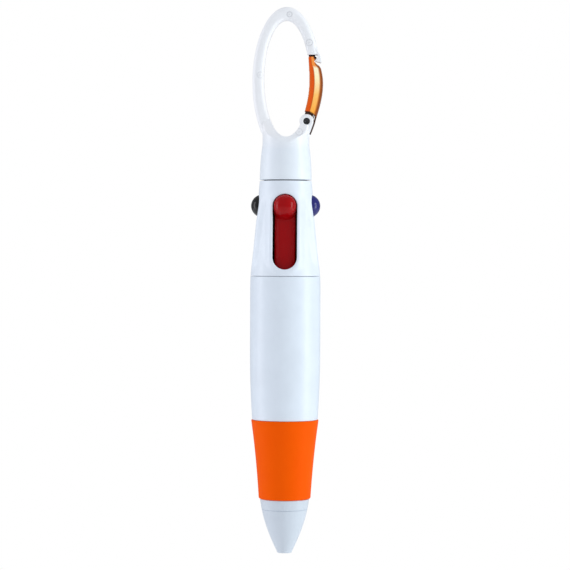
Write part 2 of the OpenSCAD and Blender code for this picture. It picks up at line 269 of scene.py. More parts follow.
def relaxed(mesh, rounds):
    """Evens out the steps of a voxel mesh without shrinking it."""
    co = coordinates(mesh)
    edges = np.empty(len(mesh.edges) * 2, np.int64)
    mesh.edges.foreach_get("vertices", edges)
    a, b = edges.reshape(-1, 2).T
    count = np.bincount(a, minlength=len(co)) + np.bincount(b, minlength=len(co))
    for _ in range(rounds):
        for push in (0.52, -0.535):
            total = np.zeros_like(co)
            for axis in range(3):
                total[:, axis] = (np.bincount(a, co[b, axis], len(co))
                                  + np.bincount(b, co[a, axis], len(co)))
            co = co + push * (total / count[:, None] - co)
    mesh.vertices.foreach_set("co", co.ravel())
    mesh.update()
    return mesh


# ---------------------------------------------------------------- materials

class Finish:
    """A node material with noise in its colour, its roughness and its bump."""

    def __init__(self, name):
        self.material = bpy.data.materials.new(name)
        self.material.use_nodes = True
        self.tree = self.material.node_tree
        self.shader = self.tree.nodes["Principled BSDF"]
        self.where = self.tree.nodes.new("ShaderNodeTexCoord")

    def node(self, kind, **values):
        made = self.tree.nodes.new(kind)
        for key, value in values.items():
            setattr(made, key, value)
        return made

    def link(self, start, end):
        self.tree.links.new(start, end)

    def noise(self, scale, detail, stretch):
        mapping = self.node("ShaderNodeMapping")
        mapping.inputs["Scale"].default_value = stretch
        self.link(self.where.outputs["Object"], mapping.inputs["Vector"])
        made = self.node("ShaderNodeTexNoise")
        made.inputs["Scale"].default_value = scale
        made.inputs["Detail"].default_value = detail
        self.link(mapping.outputs["Vector"], made.inputs["Vector"])
        return made.outputs["Fac"]

    def between(self, fac, low, high):
        made = self.node("ShaderNodeMapRange")
        made.inputs["From Min"].default_value = 0.3
        made.inputs["From Max"].default_value = 0.7
        made.inputs["To Min"].default_value = low
        made.inputs["To Max"].default_value = high
        self.link(fac, made.inputs["Value"])
        return made.outputs["Result"]

    def colour(self, dark, light, scale, stretch=(1, 1, 1)):
        mix = self.node("ShaderNodeMix", data_type="RGBA")
        mix.inputs["A"].default_value = (*dark, 1)
        mix.inputs["B"].default_value = (*light, 1)
        self.link(self.between(self.noise(scale, 4.0, stretch), 0, 1), mix.inputs["Factor"])
        self.link(mix.outputs["Result"], self.shader.inputs["Base Color"])

    def roughness(self, low, high, scale, stretch=(1, 1, 1)):
        self.link(self.between(self.noise(scale, 5.0, stretch), low, high),
                  self.shader.inputs["Roughness"])

    def bump(self, scale, depth_mm, stretch=(1, 1, 1)):
        made = self.node("ShaderNodeBump")
        made.inputs["Strength"].default_value = 1.0
        made.inputs["Distance"].default_value = depth_mm / 1e3
        self.link(self.noise(scale, 3.0, stretch), made.inputs["Height"])
        self.link(made.outputs["Normal"], self.shader.inputs["Normal"])

    def set(self, **values):
        for name, value in values.items():
            self.shader.inputs[name.replace("_", " ")].default_value = value
        return self


def tinted(rgb, factor):
    return tuple(min(1.0, c * factor) for c in rgb)


def plastic(name, rgb, low, high):
    made = Finish(name)
    made.colour(tinted(rgb, 0.97), tinted(rgb, 1.02), 160)
    made.roughness(low, high, 420)
    made.bump(700, 0.004)
    made.set(Specular_IOR_Level=0.5)
    return made


def metal(name, rgb, low, high, stretch=(1, 1, 1)):
    made = Finish(name)
    made.set(Metallic=1.0)
    made.colour(tinted(rgb, 0.9), tinted(rgb, 1.06), 700, stretch)
    made.roughness(low, high, 1500, stretch)
    made.bump(2600, 0.004, stretch)
    return made


WHITE = (0.80, 0.87, 0.955)
INKS = {"red": (0.38, 0.002, 0.004), "black": (0.011, 0.011, 0.0115),
        "blue": (0.02, 0.021, 0.17), "green": (0.006, 0.17, 0.05)}

white = plastic("white_plastic", WHITE, 0.3, 0.42)
# The nose's white is darker than the barrel's: painted shade on its downward-facing slope.
nose_white_painted_shade = plastic("white_plastic_nose_painted_shade", (0.655, 0.715, 0.79), 0.3, 0.42)
# The upper barrel's white is lighter than the lower barrel's: painted light, brighter towards the top.
top_white_painted_light = plastic("white_plastic_top_painted_light", (0.83, 0.895, 0.98), 0.3, 0.42)
# The cap's white is lighter still: painted light, brighter towards the top.
cap_painted_light_and_shade = plastic("white_plastic_cap_painted_light_and_shade", (0.86, 0.92, 0.995), 0.3, 0.42)
white_inside = plastic("white_plastic_inside", tinted(WHITE, 0.95), 0.3, 0.42)
# Near-black core: painted shade, so the gaps in the slots read dark.
core_painted_shade = plastic("dark_core", (0.012, 0.012, 0.014), 0.4, 0.55)
rubber = Finish("orange_rubber")
rubber.colour((0.99, 0.106, 0.0006), (1.0, 0.114, 0.0006), 220)
rubber.roughness(0.42, 0.55, 500)
rubber.bump(1500, 0.006)
rubber.set(Specular_IOR_Level=0.03)
steel = metal("spring_steel", (0.58, 0.58, 0.6), 0.18, 0.34)
dark_steel = metal("dark_steel", (0.09, 0.09, 0.095), 0.3, 0.45)
brass = metal("brass", (0.74, 0.54, 0.26), 0.16, 0.3, (1, 1, 6))
KNOB_SHINE = {"red": 0.2, "black": 0.4, "blue": 0.4, "green": 0.3}
knob_finish = {c: plastic(c + "_plastic", rgb, 0.14, 0.22).set(Specular_IOR_Level=KNOB_SHINE[c])
               for c, rgb in INKS.items()}
tube_finish = {c: plastic(c + "_tube", tinted(rgb, 0.8), 0.22, 0.32) for c, rgb in INKS.items()}
ball_steel = metal("ball_steel", (0.5, 0.5, 0.52), 0.1, 0.2)
gate_finish = Finish("clear_orange")


def build_cap_finish():
    """Painted light: whiter higher up the loop. Painted shade: darker moulding marks and seam."""
    f = cap_painted_light_and_shade
    colour = f.shader.inputs["Base Color"].links[0].from_socket
    # Painted light whitens the loop higher up; painted shade darkens the moulding dimples and the seam.
    for attribute, rgb in (("loop", (0.97, 0.975, 1.0)), ("painted_shade", (0.1, 0.11, 0.14))):
        where = f.node("ShaderNodeAttribute", attribute_name=attribute)
        mix = f.node("ShaderNodeMix", data_type="RGBA")
        f.link(where.outputs["Fac"], mix.inputs["Factor"])
        f.link(colour, mix.inputs["A"])
        mix.inputs["B"].default_value = (*rgb, 1)
        colour = mix.outputs["Result"]
    f.link(colour, f.shader.inputs["Base Color"])


build_cap_finish()

# ---------------------------------------------------------------- nose, grip, lower barrel

SEAM_ROUND = 0.1
HOLE_R = 1.4
NOSE_END_R = 1.75
NOSE_R = reach("nose_cone")
NOSE_TOP = bottom("grip_sleeve") - 0.05
PLUG_TOP = top("nose_cone")
COLLAR_Z = 10.35


def nose_cone():
    outer = bow((NOSE_END_R, 0.25), (5.2, 7), (NOSE_R, NOSE_TOP), 40)
    clear = [(r, z) for r, z in outer[1:-1] if abs(z - COLLAR_Z - 0.07) >= 0.24]
    line_r = float(np.interp(COLLAR_Z, [z for _, z in outer], [r for r, _ in outer]))
    groove = [(line_r - 0.03, COLLAR_Z - 0.13), (line_r, COLLAR_Z - 0.01, 0.03),
              (line_r - 0.12, COLLAR_Z + 0.04, 0.03), (line_r - 0.12, COLLAR_Z + 0.12, 0.03),
              (line_r + 0.035, COLLAR_Z + 0.16, 0.03), (line_r + 0.05, COLLAR_Z + 0.26)]
    below = [p for p in clear if p[1] < COLLAR_Z]
    above = [p for p in clear if p[1] > COLLAR_Z]
    path = [(HOLE_R, 0, 0.08), (NOSE_END_R - 0.02, 0, 0.22)] + below + groove + above + [
        (NOSE_R, NOSE_TOP, SEAM_ROUND), (4.45, NOSE_TOP), (4.45, PLUG_TOP, 0.3),
        (3.5, PLUG_TOP, 0.1), (3.5, 9), (2.2, 4, 0.6), (HOLE_R, 0.4)]
    shape = Shape().lathe(rounded(path), 160)
    piece("nose_cone_shell", shape.mesh("nose_cone_shell"), "nose_cone", "lower", nose_white_painted_shade.material)


def grip_sleeve():
    low, high = bottom("grip_sleeve"), top("grip_sleeve")
    r_low, r_high = 6.2, reach("grip_sleeve")
    outer = bow((r_low + 0.04, low + 0.9), (6.87, 23.5), (r_high, high - 0.3), 40)
    path = [(5.26, low), (r_low, low, 0.75)] + outer + [(r_high, high, 0.28), (6.95, high)]
    shape = Shape().lathe(rounded(path, 7), 160)
    piece("grip_sleeve_skin", shape.mesh("grip_sleeve_skin"), "grip_sleeve", "lower", rubber.material)


def lower_barrel():
    low, high, r = bottom("lower_barrel"), top("lower_barrel"), reach("lower_barrel")
    grip_top = top("grip_sleeve")
    seam_r = reach("upper_barrel")
    shoulder = grip_top + 0.05
    path = [(4.5, low), (5.2, low), (6.9, shoulder, 0.05), (7.82, shoulder, 0.12)]
    path += bow((7.83, shoulder + 0.2), (r, 40.5), (r, 48), 24)[1:]
    path += [(r, 55), (r, 60)] + bow((r, 62), (r, 64.5), (seam_r + 0.005, high - 0.25), 8)
    path += [(seam_r, high, 0.09), (7.15, high, 0.1), (7.08, high - 0.3), (7.08, 42), (5.9, 31.5),
             (4.5, 18.7)]
    shape = Shape().lathe(rounded(path), 176)
    piece("lower_barrel_shell", shape.mesh("lower_barrel_shell"), "lower_barrel", "lower", white.material)


# ---------------------------------------------------------------- upper barrel

NECK_R = 6.2
SLOT_HALF = 2.9
SLOT_LOW, SLOT_HIGH = 67.7, 85.55
LIP = 0.22
LIP_FLAT, LIP_FALL, LIP_RISE, LIP_RISE_TOP = 0.25, 1.7, 0.85, 0.35
INNER_LOW, INNER_HIGH = 66.5, 86.5
INNER_LOW_R, INNER_HIGH_R = 6.15, 5.15
SPIGOT_R, THREAD_R, THREAD_PITCH = 6.68, 6.98, 1.5
LONG_N, SHORT_N, TURN_N = 56, 24, 96
UPPER_LOW = top("lower_barrel") + 0.1
UPPER_HIGH = top("upper_barrel")


def barrel_radius():
    points = bow((reach("upper_barrel"), UPPER_LOW), (7, 78), (NECK_R, UPPER_HIGH), 200)
    zs, rs = [p[1] for p in points], [p[0] for p in points]
    return lambda z: np.interp(z, zs, rs)


outer_r = barrel_radius()


def inner_r(z):
    return np.interp(z, [INNER_LOW, 68.5, INNER_HIGH], [INNER_LOW_R, 6.95, INNER_HIGH_R])


def stadium(offset):
    """Points round a slot's edge in (y, z), offset outwards. The corners lie at 45 degrees."""
    r = SLOT_HALF + offset
    low, high = SLOT_LOW + SLOT_HALF, SLOT_HIGH - SLOT_HALF
    arc = r * math.pi / 4
    length = high - low + 2 * arc
    out = []
    for k in range(LONG_N):
        s = k / LONG_N * length
        if s < arc:
            a = -math.pi / 4 + s / r
            out.append((r * math.cos(a), low + r * math.sin(a)))
        elif s < arc + high - low:
            out.append((r, low + s - arc))
        else:
            a = (s - arc - high + low) / r
            out.append((r * math.cos(a), high + r * math.sin(a)))
    for k in range(SHORT_N):
        a = math.pi / 4 + k / SHORT_N * math.pi / 2
        out.append((r * math.cos(a), high + r * math.sin(a)))
    half = [(-y, low + high - z) for y, z in out]
    return np.array(out + half)


def frame_points(low, high):
    """The matching points round the edge of a quarter of the wall, as (angle, z)."""
    q = math.pi / 4
    right = [(q, low + (high - low) * k / LONG_N) for k in range(LONG_N)]
    above = [(q - 2 * q * k / SHORT_N, high) for k in range(SHORT_N)]
    out = right + above
    return np.array(out + [(-a, low + high - z) for a, z in out])


def wall(radius, inner_ring, low, high, steps):
    """Rings of a quarter of the wall, from the slot's edge to the quarter's edge."""
    y, z = inner_ring.T
    start = np.stack([np.arctan2(y, np.sqrt(radius(z) ** 2 - y ** 2)), z], 1)
    end = frame_points(low, high)
    rings = []
    for t in steps:
        p = start + (end - start) * t
        r = radius(p[:, 1])
        rings.append(np.stack([r * np.cos(p[:, 0]), r * np.sin(p[:, 0]), p[:, 1]], 1))
    return rings


def raised(points):
    """Lifts the wall beside a slot's long sides into a low soft lip, almost level with the crest."""
    y, z = points[:, 1], points[:, 2]
    half = (SLOT_HIGH - SLOT_LOW) / 2 - SLOT_HALF
    beyond = np.maximum(0, np.abs(z - (SLOT_LOW + SLOT_HIGH) / 2) - half)
    away = np.clip((np.hypot(y, beyond) - SLOT_HALF - LIP_FLAT) / LIP_FALL, 0, 1)
    r = outer_r(z)
    lift = r - np.sqrt(np.maximum(r ** 2 - y ** 2, 1))
    out = points.copy()
    rise = np.interp(z, [79, 85], [LIP_RISE, LIP_RISE_TOP])
    out[:, 0] += rise * lift * (1 - away * away * (3 - 2 * away))
    return out


def turned_rings(path, radius=None):
    a = np.linspace(0, 2 * math.pi, TURN_N, endpoint=False) + math.pi / 4
    rings = []
    for r, z in path:
        rr = np.full(TURN_N, r) if radius is None else radius(a, z)
        rings.append(np.stack([rr * np.cos(a), rr * np.sin(a), np.full(TURN_N, z)], 1))
    return rings


def thread_radius(base, crest, pitch, low, high):
    """A screw thread's radius at an angle and height, fading in and out at its ends."""
    def radius(a, z):
        turn = ((z - pitch * a / (2 * math.pi)) / pitch) % 1.0
        ridge = np.clip(1.6 - 4.2 * np.abs(turn - 0.5), 0, 1)
        fade = min(1.0, max(0.0, min(z - low, high - z) / 0.6))
        return base + (crest - base) * ridge * fade
    return radius


def upper_barrel():
    shape = Shape()
    low, high = UPPER_LOW + 0.12, UPPER_HIGH - 0.12
    n = len(stadium(0))
    steps_out = [0, 0.03, 0.07, 0.13, 0.2, 0.28, 0.37, 0.46, 0.56, 0.66, 0.76, 0.86, 0.94, 1]
    for side in (0, 90, 180, 270):
        rings = wall(outer_r, stadium(LIP + 0.06), low, high, steps_out)[::-1]
        for k in range(7):
            a = k / 6 * math.pi / 2
            ring = stadium(LIP * (1 - math.sin(a)))
            x = np.sqrt(outer_r(ring[:, 1]) ** 2 - ring[:, 0] ** 2) - LIP * (1 - math.cos(a))
            rings.append(np.stack([x, ring[:, 0], ring[:, 1]], 1))
        rings = [raised(ring) for ring in rings]
        ring = stadium(0)
        deep = np.sqrt(inner_r(ring[:, 1]) ** 2 - ring[:, 0] ** 2)
        shallow = rings[-1][:, 0]
        for t in (0.08, 0.5, 1.0):
            rings.append(np.stack([shallow + (deep - shallow) * t, ring[:, 0], ring[:, 1]], 1))
        rings += wall(inner_r, ring, INNER_LOW, INNER_HIGH, [0.08, 0.25, 0.5, 0.75, 1])
        shape.add(np.concatenate(rings) @ spun(side).T, grid_faces(len(rings), n))
    rim = [(float(outer_r(high)), high), (NECK_R, UPPER_HIGH, 0.12), (INNER_HIGH_R, UPPER_HIGH, 0.08),
           (INNER_HIGH_R, INNER_HIGH)]
    rings = turned_rings(rounded(rim, closed=False, support=0.03))
    shape.add(np.concatenate(rings), grid_faces(len(rings), TURN_N))
    spigot_low = bottom("upper_barrel")
    thread = thread_radius(SPIGOT_R, THREAD_R, THREAD_PITCH, spigot_low + 0.6, 65.8)
    foot = rounded([(float(outer_r(low)), low), (reach("upper_barrel"), UPPER_LOW, 0.1),
                    (SPIGOT_R, UPPER_LOW, 0.05), (SPIGOT_R, 65.95)], closed=False, support=0.03)
    rings = turned_rings(foot)
    rings += turned_rings([(0, z) for z in np.arange(65.9, spigot_low + 0.45, -0.075)], thread)
    rings += turned_rings(rounded([(SPIGOT_R, spigot_low + 0.4), (SPIGOT_R, spigot_low, 0.2),
                                   (INNER_LOW_R, spigot_low, 0.1), (INNER_LOW_R, INNER_LOW)], closed=False))
    shape.add(np.concatenate(rings), grid_faces(len(rings), TURN_N))
    mesh = shape.mesh("upper_barrel_shell", weld=2e-3)
    piece("upper_barrel_shell", mesh, "upper_barrel", "upper", top_white_painted_light.material)


# ---------------------------------------------------------------- cap and loop

CAP_LOW = bottom("carabiner_cap")
LOOP_X = 0.15
OUT_Z, OUT_A, OUT_B = 112.4, 8.15, 17.74
IN_Z, IN_A, IN_B = 113.03, 5.36, 13.87
DEPTH = 3.4
PIN = np.array([JOINTS["gate_hinge"]["pos_m"][0] * 1e3, (JOINTS["gate_hinge"]["pos_m"][2] - TIP_Z) * 1e3])
LEAN_A = math.radians(18.8)
LEAN = np.array([math.sin(LEAN_A), math.cos(LEAN_A)])
OUTWARD = np.array([math.cos(LEAN_A), -math.sin(LEAN_A)])
GAP_TOP = 118.76
PIN_R = 0.79
LUG_R = 1.7
LUG_SLOT_R = 2.1
CHEEK_GAP = 2.0
VOXEL = 0.12
CAP_R = 5.55
COLUMN_Z = 97.3
# x, z, radius of each round ejector dimple, and strength of the painted shade in it
MOULD_MARKS = ((0.75, 128.3, 0.6, 0.3), (5.5, 121.6, 0.72, 0.25),
               (-6.2, 113.9, 0.7, 0.12), (3.2, 100.3, 0.8, 0.2))
TENON_T = 1.3
TENON_TOP = 119.4


def strand_section(width):
    """The loop's section as (distance from its inner edge, depth) with round corners."""
    h, corner, steps = DEPTH / 2, 1.15, 8
    pts = []
    for cx, cy, a0 in ((width - corner, h - corner, 0), (corner, h - corner, 90),
                       (corner, corner - h, 180), (width - corner, corner - h, 270)):
        for k in range(steps + 1):
            a = math.radians(a0 + 90 * k / steps)
            pts.append((cx + corner * math.cos(a), cy + corner * math.sin(a)))
    return pts


def loop_strand():
    n = 220
    rings = []
    for k in range(n):
        a = 2 * math.pi * k / n
        inner = np.array([LOOP_X + IN_A * math.cos(a), IN_Z + IN_B * math.sin(a)])
        outer = np.array([LOOP_X + OUT_A * math.cos(a), OUT_Z + OUT_B * math.sin(a)])
        width = np.linalg.norm(outer - inner)
        d = (outer - inner) / width
        rings.append([(inner[0] + s * d[0], y, inner[1] + s * d[1]) for s, y in strand_section(width)])
    verts = np.array(rings).reshape(-1, 3)
    return Shape().add(verts, grid_faces(n, len(rings[0]), wrap_rings=True)).mesh("strand")


def prism(outline, depth, y=0.0):
    """Vertices and faces of a prism of an (x, z) outline across the loop's plane."""
    outline = np.array(outline, float)
    n = len(outline)
    front = np.stack([outline[:, 0], np.full(n, y - depth / 2), outline[:, 1]], 1)
    back = front + np.array([0, depth, 0])
    return np.concatenate([front, back]), stack_faces(2, n)


def plate(outline, depth):
    return Shape().add(*prism(outline, depth)).mesh("plate")


def about_pin(outline, n):
    """Rings of n points round the hinge pin, from an outline of (radius, y) points."""
    a = np.linspace(0, 2 * math.pi, n, endpoint=False)
    return [np.stack([PIN[0] + r * np.cos(a), np.full(n, y), PIN[1] + r * np.sin(a)], 1)
            for r, y in outline]


def across(r, depth, chamfer=0.0):
    """A round bar along Y, about the hinge pin."""
    n, h = 96, depth / 2
    levels = [(r, -h), (r, h)]
    if chamfer:
        levels = [(r - chamfer, -h), (r, chamfer - h), (r, h - chamfer), (r - chamfer, h)]
    return Shape().add(np.concatenate(about_pin(levels, n)), stack_faces(len(levels), n)).mesh("bar")


def capped_lathe(outline, n=160):
    """A turned solid whose outline starts and ends on the axis."""
    a = np.linspace(0, 2 * math.pi, n, endpoint=False)
    inside = outline[1:-1]
    rings = [np.stack([r * np.cos(a), r * np.sin(a), np.full(n, z)], 1) for r, z in inside]
    verts = [*np.concatenate(rings), (0, 0, outline[0][1]), (0, 0, outline[-1][1])]
    faces = grid_faces(len(rings), n)
    first, last = len(rings) * n, len(rings) * n + 1
    faces += [(first, (j + 1) % n, j) for j in range(n)]
    faces += [(last, (len(rings) - 1) * n + j, (len(rings) - 1) * n + (j + 1) % n) for j in range(n)]
    return Shape().add(verts, faces).mesh("turned")


def carabiner_cap():
    seam = UPPER_HIGH + 0.24
    cap = capped_lathe(rounded([(0, CAP_LOW), (5.1, CAP_LOW, 0.25), (5.1, seam, 0.05), (6.2, seam, 0.16)]
                               + bow((6.19, seam + 0.3), (6.05, 94.5), (CAP_R, COLUMN_Z), 20)
                               + [(0, COLUMN_Z)], closed=False))
    flank = bow((CAP_R, COLUMN_Z), (CAP_R, 98.5), (4.2, 99.4), 12)
    flank += bow((4.1, 99.46), (1.9, 101), (DEPTH / 2, 103.4), 20)
    sides = flank + [(-y, z) for y, z in flank[::-1]]
    y, z = np.array([(-CAP_R, 95.5), (CAP_R, 95.5)] + sides).T
    n = len(y)
    ends = np.concatenate([np.stack([np.full(n, x), y, z], 1) for x in (-9.0, 9.0)])
    flanks = Shape().add(ends, stack_faces(2, n)).mesh("flanks")
    column = capped_lathe([(0, 95.2), (CAP_R, 95.2), (CAP_R, 105), (0, 105)])
    root = combine(column, flanks, "INTERSECT")
    hole = plate([(LOOP_X + IN_A * math.cos(a), IN_Z + IN_B * math.sin(a))
                  for a in np.linspace(0, 2 * math.pi, 160, endpoint=False)], 20)
    root = combine(root, hole, "DIFFERENCE")
    strand = loop_strand()
    gap = plate([tuple(PIN - 6 * OUTWARD), tuple(PIN + 6 * OUTWARD), (12, GAP_TOP), (1, GAP_TOP)], 10)
    strand = combine(strand, gap, "DIFFERENCE")
    lug = across(LUG_R, DEPTH, chamfer=0.3)
    hook = plate([(7.2, 120.3), (6.9, GAP_TOP), (7.5, GAP_TOP), (7.5, 117.95), (6.85, 117.25),
                  (8.35, 116.85), (8.42, 117.7), (8.17, 118.7)], DEPTH - 0.4)
    tenon_slot = plate([(3, GAP_TOP - 1), (7.2, GAP_TOP - 1), (7.2, TENON_TOP + 0.4), (3, TENON_TOP + 0.4)],
                       TENON_T + 0.3)
    tail_seat = plate([(6.66, 103.5), (6.6, 102.4), (5.66, 99.75), (6.2, 99.75), (8, 101.5), (8, 103.5)], 10)
    body = cap
    for part in (root, strand, lug, hook):
        body = combine(body, part, "UNION")
    for cut in (tenon_slot, tail_seat, across(LUG_SLOT_R, CHEEK_GAP)):
        body = combine(body, cut, "DIFFERENCE")
    body = combine(body, across(PIN_R + 0.02, 10), "DIFFERENCE")
    body = relaxed(remeshed(body, VOXEL), 8)
    co = coordinates(body) * 1e3
    z = co[:, 2] - TIP_Z * 1e3
    faces_out = np.abs(co[:, 1]) > 1.1
    painted_shade = np.zeros(len(co))
    # The dimples are real shallow dents; their dark rings and dots are painted shade.
    for x0, z0, r0, strength in MOULD_MARKS:
        off = np.hypot(co[:, 0] - x0, z - z0)
        ring = np.clip(1 - np.abs(off - r0) / 0.2, 0, 1) * faces_out
        dot = np.clip(1 - off / 0.3, 0, 1) * faces_out
        co[:, 1] -= np.sign(co[:, 1]) * 0.09 * ring
        painted_shade = np.maximum(painted_shade, strength * np.maximum(ring, dot))
    # Painted shade in the seam under the cap's rim, whose plug is white plastic.
    seam_painted_shade = (np.hypot(co[:, 0], co[:, 1]) < 5.7) & (z < seam + 0.1)
    mark_points(body, "painted_shade", np.maximum(painted_shade, seam_painted_shade))
    # Painted light: lighter higher up the loop.
    mark_points(body, "loop", np.clip((z - 96) / 5, 0, 1))
    body.vertices.foreach_set("co", (co / 1e3).ravel())
    body.update()
    piece("carabiner_cap_shell", body, "carabiner_cap", "upper", cap_painted_light_and_shade.material, sharp=180)


def mark_points(mesh, name, values):
    layer = mesh.attributes.new(name, "FLOAT", "POINT")
    layer.data.foreach_set("value", np.asarray(values, np.float32))


# ---------------------------------------------------------------- gate

GATE_DEPTH = 3.0
GATE_INNER = (4.45, 105.2), (5.95, 110.2), (5.5, 115.2)
GATE_OUTER = (8.45, 114.9), (9.55, 110.6), (7.2, 103.8)
ARC_R = 2.33
TONGUE_R = 1.6
TONGUE_T = 0.9
TONGUE_Y = -0.4
TORSION_Y = 0.55


def gate_outline():
    """The gate's outline as (x, z), going up its inner side and down its outer side."""
    inner = bow(*GATE_INNER, 28)
    head = [(5.3, 118.3, 0.25), (7.25, 118.3, 0.2), (7.25, 117.95), (6.6, 117.3, 0.1), (7.35, 116.45, 0.3),
            (7.9, 116.1, 0.3), (8.3, 115.5, 0.3)]
    outer = bow(*GATE_OUTER, 28)
    a_out = math.atan2(outer[-1][1] - PIN[1], outer[-1][0] - PIN[0])
    a_in = math.atan2(inner[0][1] - PIN[1], inner[0][0] - PIN[0])
    arc = [(PIN[0] + ARC_R * math.cos(a), PIN[1] + ARC_R * math.sin(a)) for a in np.linspace(a_out, a_in, 20)]
    body = [p for p in rounded(inner + head + outer, 4)
            if math.hypot(p[0] - PIN[0], p[1] - PIN[1]) > ARC_R + 0.05]
    return body + arc


def inset(outline, d):
    """The outline moved inwards by d."""
    p = np.array(outline)
    before, after = np.roll(p, 1, 0), np.roll(p, -1, 0)
    t = (after - before)
    t /= np.linalg.norm(t, axis=1)[:, None]
    area = np.sum(p[:, 0] * after[:, 1] - after[:, 0] * p[:, 1])
    normal = np.stack([t[:, 1], -t[:, 0]], 1) * (1 if area > 0 else -1)
    return p - normal * d


def resampled(outline, step):
    p = np.array(list(outline) + [outline[0]])
    length = np.concatenate([[0], np.cumsum(np.linalg.norm(np.diff(p, axis=0), axis=1))])
    s = np.linspace(0, length[-1], int(length[-1] / step), endpoint=False)
    return np.stack([np.interp(s, length, p[:, 0]), np.interp(s, length, p[:, 1])], 1)


def gate():
    outline = resampled(gate_outline(), 0.16)
    n = len(outline)
    soft = 0.3
    h = GATE_DEPTH / 2
    levels = []
    for k in range(6):
        a = k / 5 * math.pi / 2
        levels.append((soft * (1 - math.sin(a)), -h + soft * (1 - math.cos(a))))
    levels += [(0, 0.0)] + [(d, -y) for d, y in levels[::-1]]
    rings = []
    for d, y in levels:
        q = inset(outline, d)
        rings.append(np.stack([q[:, 0], np.full(n, y), q[:, 1]], 1))
    block = Shape().add(np.concatenate(rings), stack_faces(len(rings), n))
    near, far = TONGUE_Y - TONGUE_T / 2, TONGUE_Y + TONGUE_T / 2
    bore = PIN_R + 0.06
    ring = rounded([(bore, near), (TONGUE_R, near, 0.1), (TONGUE_R, far, 0.1), (bore, far)])
    block.add(np.concatenate(about_pin(ring, 96)), grid_faces(len(ring), 96, wrap_rings=True))
    root, end = PIN + 1.2 * LEAN, PIN + 3 * LEAN
    for part, depth, y in (
            ([root - OUTWARD, root + OUTWARD, end + OUTWARD, end - OUTWARD], TONGUE_T - 0.02, TONGUE_Y),
            ([(5.35, 117.8), (6.95, 117.8), (6.8, TENON_TOP), (5.45, TENON_TOP)], TENON_T, 0),
            ([(6.63, 102.4), (5.7, 99.79), (5.86, 99.79), (6.3, 100.85), (6.86, 102.4), (7.14, 103.5),
              (7.4, 104.4), (7, 104.4), (6.72, 103.35)], GATE_DEPTH - 0.02, 0)):
        block.add(*prism(part, depth, y))
    block = relaxed(remeshed(block.mesh("gate_block"), 0.09), 5)
    mark_gate(block)
    piece("gate_leaf", block, "gate", "gate", gate_finish.material, sharp=180)


def mark_gate(mesh):
    """Writes how far across the gate each point lies, how high, and where shade is painted."""
    co = coordinates(mesh) * 1e3
    z = co[:, 2] - TIP_Z * 1e3
    inner = np.array(bow(*GATE_INNER, 40) + [(5.3, 118.3)])
    outer = np.array([(7.0, 103.0)] + bow(*GATE_OUTER[::-1], 40)
                     + [(8.3, 115.5), (7.35, 116.45), (7.0, 118.3)])
    left = np.interp(z, inner[:, 1], inner[:, 0])
    right = np.interp(z, outer[:, 1], outer[:, 0])
    share = np.clip((co[:, 0] - left) / (right - left), 0, 1)
    off = np.hypot(co[:, 0] - PIN[0], z - PIN[1])
    # Painted shade along the bottom arc, in the gap above the head and at its right corner, inside the arc
    # and on the tail.
    foot = np.clip(1 - np.abs(off - ARC_R) / 0.25, 0, 1)
    painted_shade_mask = (z > 118.28) | ((co[:, 0] > 6.6) & (z > 117.85)) | (off < ARC_R - 0.05) | (z < 103.1)
    mark_points(mesh, "share", share)
    mark_points(mesh, "rise", np.clip((z - 103) / 15.3, 0, 1))
    mark_points(mesh, "shade", np.maximum(painted_shade_mask, 0.8 * foot))


def build_gate_finish():
    """Deep orange inside, a lighter strip of painted highlight further out that whitens towards the top and
    glows faintly, and a darker outer rim.
    """
    f = gate_finish
    share = f.node("ShaderNodeAttribute", attribute_name="share")
    rise = f.node("ShaderNodeAttribute", attribute_name="rise")

    def ramp(source, stops):
        made = f.node("ShaderNodeValToRGB")
        elements = made.color_ramp.elements
        elements[0].position, elements[0].color = stops[0][0], (*stops[0][1], 1)
        elements[1].position, elements[1].color = stops[-1][0], (*stops[-1][1], 1)
        for place, rgb in stops[1:-1]:
            elements.new(place).color = (*rgb, 1)
        f.link(source.outputs["Fac"], made.inputs["Fac"])
        return made.outputs["Color"]

    def mixed(factor, a, b):
        made = f.node("ShaderNodeMix", data_type="RGBA")
        f.link(factor, made.inputs["Factor"])
        f.link(a, made.inputs["A"])
        f.link(b, made.inputs["B"])
        return made.outputs["Result"]

    deep = ramp(share, ((0.0, (0.8, 0.25, 0.06)), (0.1, (0.93, 0.125, 0.004)), (0.3, (0.96, 0.11, 0.002)),
                        (0.38, (0.62, 0.13, 0.008)), (0.82, (0.62, 0.14, 0.015)), (0.9, (0.3, 0.08, 0.014)),
                        (1.0, (0.34, 0.1, 0.03))))
    # Painted highlight: orange low down, near-white near the top.
    painted_highlight = ramp(rise, ((0.0, (0.6, 0.16, 0.03)), (0.1, (1.0, 0.42, 0.05)), (0.4, (1.0, 0.56, 0.15)),
                       (0.66, (1.0, 0.88, 0.52)), (0.82, (1.0, 0.93, 0.66)), (0.86, (0.9, 0.3, 0.06))))
    # Where across the gate the painted highlight lies.
    highlight_band = ramp(share, ((0.36, (0, 0, 0)), (0.42, (1, 1, 1)), (0.7, (1, 1, 1)), (0.82, (0, 0, 0))))
    colour = mixed(highlight_band, deep, painted_highlight)
    # Painted shade: near-black where the gate lies in shadow.
    shade = f.node("ShaderNodeAttribute", attribute_name="shade").outputs["Fac"]
    dark = ramp(rise, ((0.0, (0.06, 0.025, 0.012)), (1.0, (0.03, 0.014, 0.01))))
    f.link(mixed(shade, colour, dark), f.shader.inputs["Base Color"])
    # The highlight strip glows faintly: painted light, not a lamp.
    f.link(mixed(shade, mixed(highlight_band, dark, painted_highlight), dark), f.shader.inputs["Emission Color"])
    f.roughness(0.12, 0.2, 500)
    f.bump(800, 0.003)
    f.set(Transmission_Weight=0.1, IOR=1.49, Specular_IOR_Level=0.25, Emission_Strength=0.22)


build_gate_finish()


